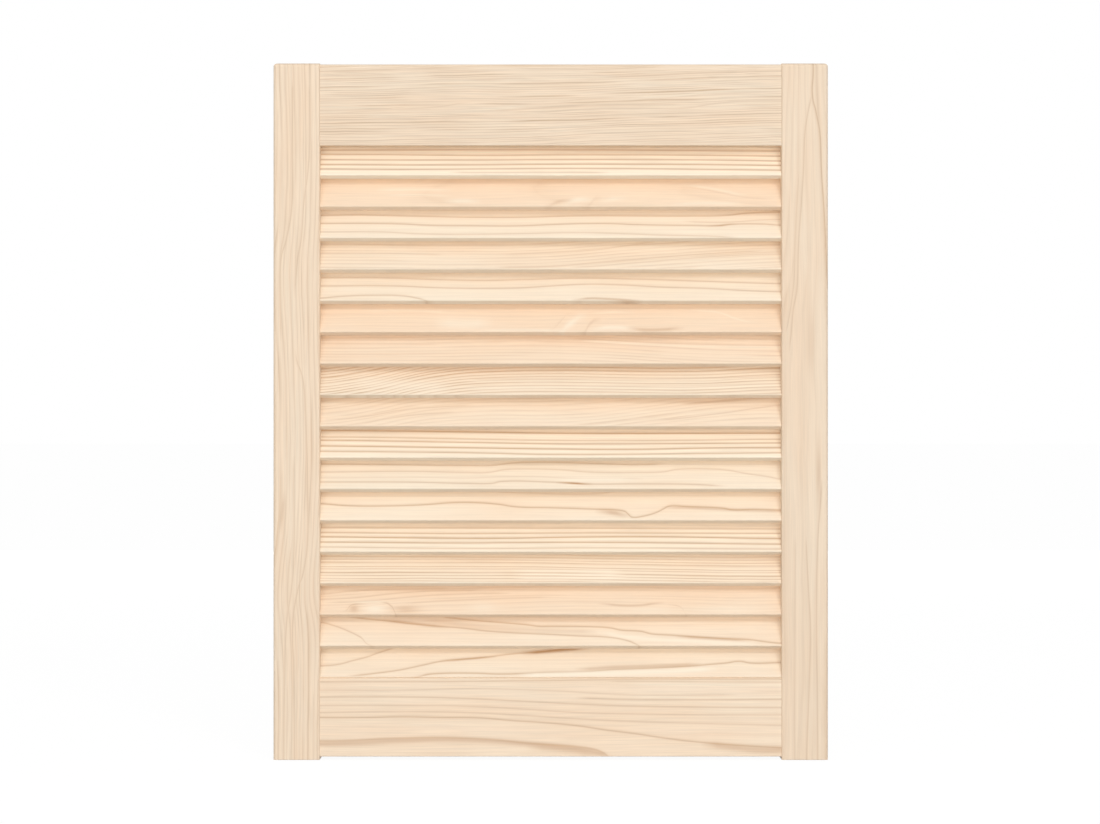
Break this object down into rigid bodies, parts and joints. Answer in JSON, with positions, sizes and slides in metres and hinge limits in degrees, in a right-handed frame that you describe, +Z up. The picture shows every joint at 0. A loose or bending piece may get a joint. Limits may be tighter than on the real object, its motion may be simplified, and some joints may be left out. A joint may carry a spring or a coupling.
{
  "type": "louvred cabinet door",
  "caption": "Small pine cabinet door: two stiles and two dowelled rails around fixed slats that slope down to the front and let air through.",
  "frame": {"origin": "middle of the leaf's width and thickness, at the foot of the stiles", "axes": "+Z up along the stiles, +Y from the front face to the back, +X to the right as seen from the front"},
  "size_m": [0.394, 0.021, 0.495],
  "materials": {
    "pine_stiles": "planed and sanded, bare",
    "pine_rails": "planed and sanded, bare",
    "pine_slats": "planed, bare",
    "beech_dowels": "turned and fluted, bare"
  },
  "bodies": {
    "root": {"left_stile": "pine_stiles", "right_stile": "pine_stiles", "top_rail": "pine_rails", "bottom_rail": "pine_rails", "slat_01": "pine_slats", "slat_02": "pine_slats", "slat_03": "pine_slats", "slat_04": "pine_slats", "slat_05": "pine_slats", "slat_06": "pine_slats", "slat_07": "pine_slats", "slat_08": "pine_slats", "slat_09": "pine_slats", "slat_10": "pine_slats", "slat_11": "pine_slats", "slat_12": "pine_slats", "slat_13": "pine_slats", "slat_14": "pine_slats", "slat_15": "pine_slats", "slat_16": "pine_slats", "slat_17": "pine_slats", "dowel_top_left_upper": "beech_dowels", "dowel_top_left_lower": "beech_dowels", "dowel_top_right_upper": "beech_dowels", "dowel_top_right_lower": "beech_dowels", "dowel_bottom_left_upper": "beech_dowels", "dowel_bottom_left_lower": "beech_dowels", "dowel_bottom_right_upper": "beech_dowels", "dowel_bottom_right_lower": "beech_dowels"}
  },
  "joints": []
}
